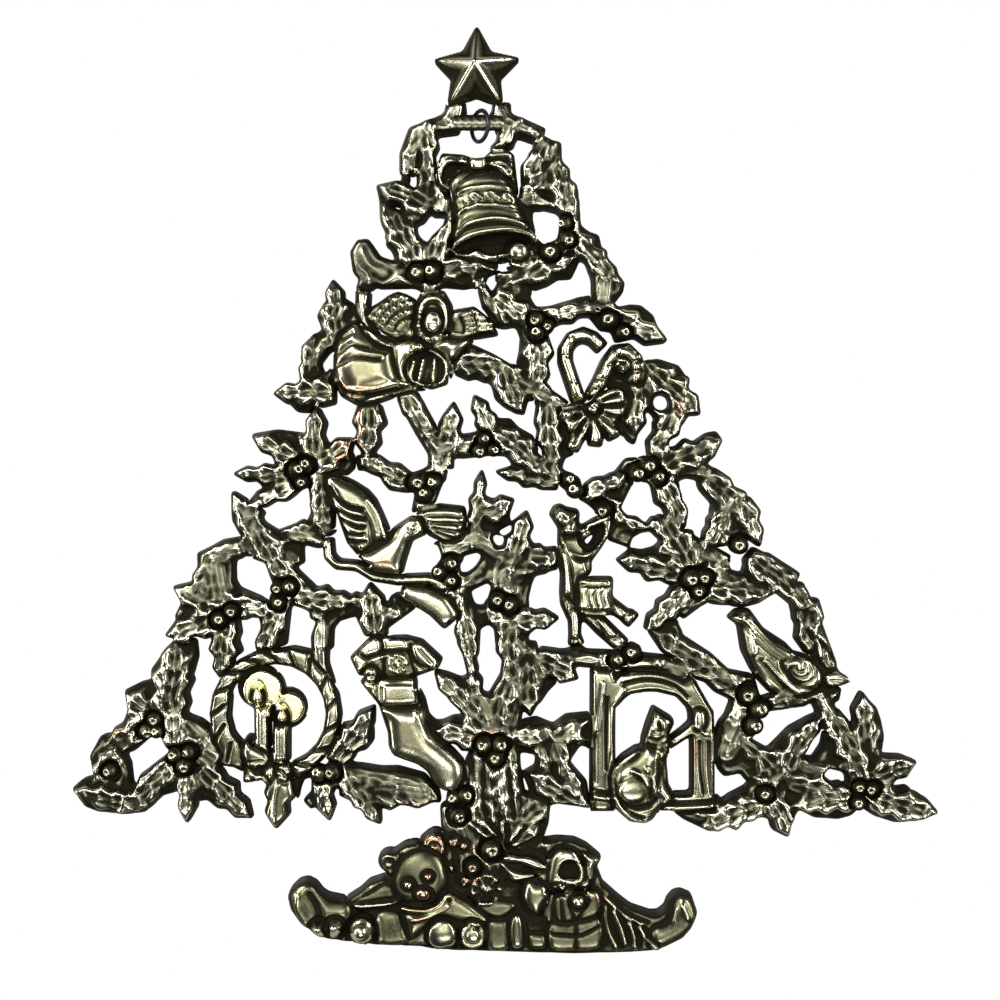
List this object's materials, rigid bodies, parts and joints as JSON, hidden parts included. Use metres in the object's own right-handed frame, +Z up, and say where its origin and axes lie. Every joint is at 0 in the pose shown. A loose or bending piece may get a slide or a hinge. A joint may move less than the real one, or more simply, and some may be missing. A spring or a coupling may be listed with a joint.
{
  "type": "openwork relief christmas tree wall hanging",
  "caption": "Flat-backed openwork metal relief of a christmas tree with a star, holly, small figures and a toy-heaped base, hung from the hole under its star.",
  "frame": {"origin": "top of the hook hole under the star, on the back plane, where the wall hook carries the tree", "axes": "+Z up the tree, +Y from the relief through the flat back into the wall, +X to the viewer's right"},
  "size_m": [0.2157, 0.009, 0.231],
  "materials": {
    "dark_bronze": "antiqued cast brass, near-black recesses with rubbed edges",
    "old_brass": "antiqued cast brass, olive with rubbed highlights",
    "pale_brass": "antiqued cast brass, rubbed bright on the raised forms",
    "black_wire": "black steel wire, satin"
  },
  "bodies": {
    "tree": {"star": "old_brass", "bell_bow": "old_brass", "bell": "old_brass", "bell_clapper": "pale_brass", "angel_head": "old_brass", "angel_harp": "pale_brass", "angel_gown": "pale_brass", "angel_wing_left": "old_brass", "angel_wing_right": "old_brass", "angel_ribbon": "dark_bronze", "cane_bow": "old_brass", "candy_cane_right": "pale_brass", "candy_cane_left": "pale_brass", "dove": "pale_brass", "dove_near_wing": "old_brass", "dove_far_wing": "old_brass", "horn": "pale_brass", "dove_ribbon": "old_brass", "drum": "pale_brass", "drummer": "old_brass", "stocking_gifts": "pale_brass", "stocking": "pale_brass", "candle_left": "pale_brass", "candle_right": "pale_brass", "candle_holder": "old_brass", "cat": "old_brass", "cardinal": "old_brass", "bear": "old_brass", "bear_paw": "pale_brass", "toy_car": "pale_brass", "gift_bow": "pale_brass", "gift_box": "old_brass", "heart": "pale_brass", "top_branch": "dark_bronze", "bell_left_leaves": "dark_bronze", "bell_right_leaves": "dark_bronze", "angel_left_leaves": "dark_bronze", "angel_right_leaves": "dark_bronze", "cane_left_leaves": "dark_bronze", "cane_right_leaves": "dark_bronze", "right_upper_leaves": "dark_bronze", "right_middle_leaves": "dark_bronze", "centre_top_leaves": "dark_bronze", "centre_left_branch": "dark_bronze", "left_upper_leaves": "dark_bronze", "left_middle_branch": "dark_bronze", "centre_cluster": "dark_bronze", "trunk_top": "dark_bronze", "trunk_right_branch": "dark_bronze", "left_outer_leaves": "dark_bronze", "left_lower_leaves": "dark_bronze", "wreath_right_leaves": "dark_bronze", "wreath_ring": "old_brass", "window_frame": "old_brass", "right_outer_leaves": "dark_bronze", "bird_branch": "dark_bronze", "right_lower_leaves": "dark_bronze", "trunk_lower": "dark_bronze", "base_tray": "old_brass"},
    "ring": {"hanging_ring": "black_wire"}
  },
  "joints": [
    {"name": "ring_swing", "type": "hinge", "parent": "tree", "child": "ring", "pos_m": [0.0005, -0.0045, -0.0048], "axis": [0.5447, -0.8386, 0], "range_deg": [-25, 25]}
  ]
}
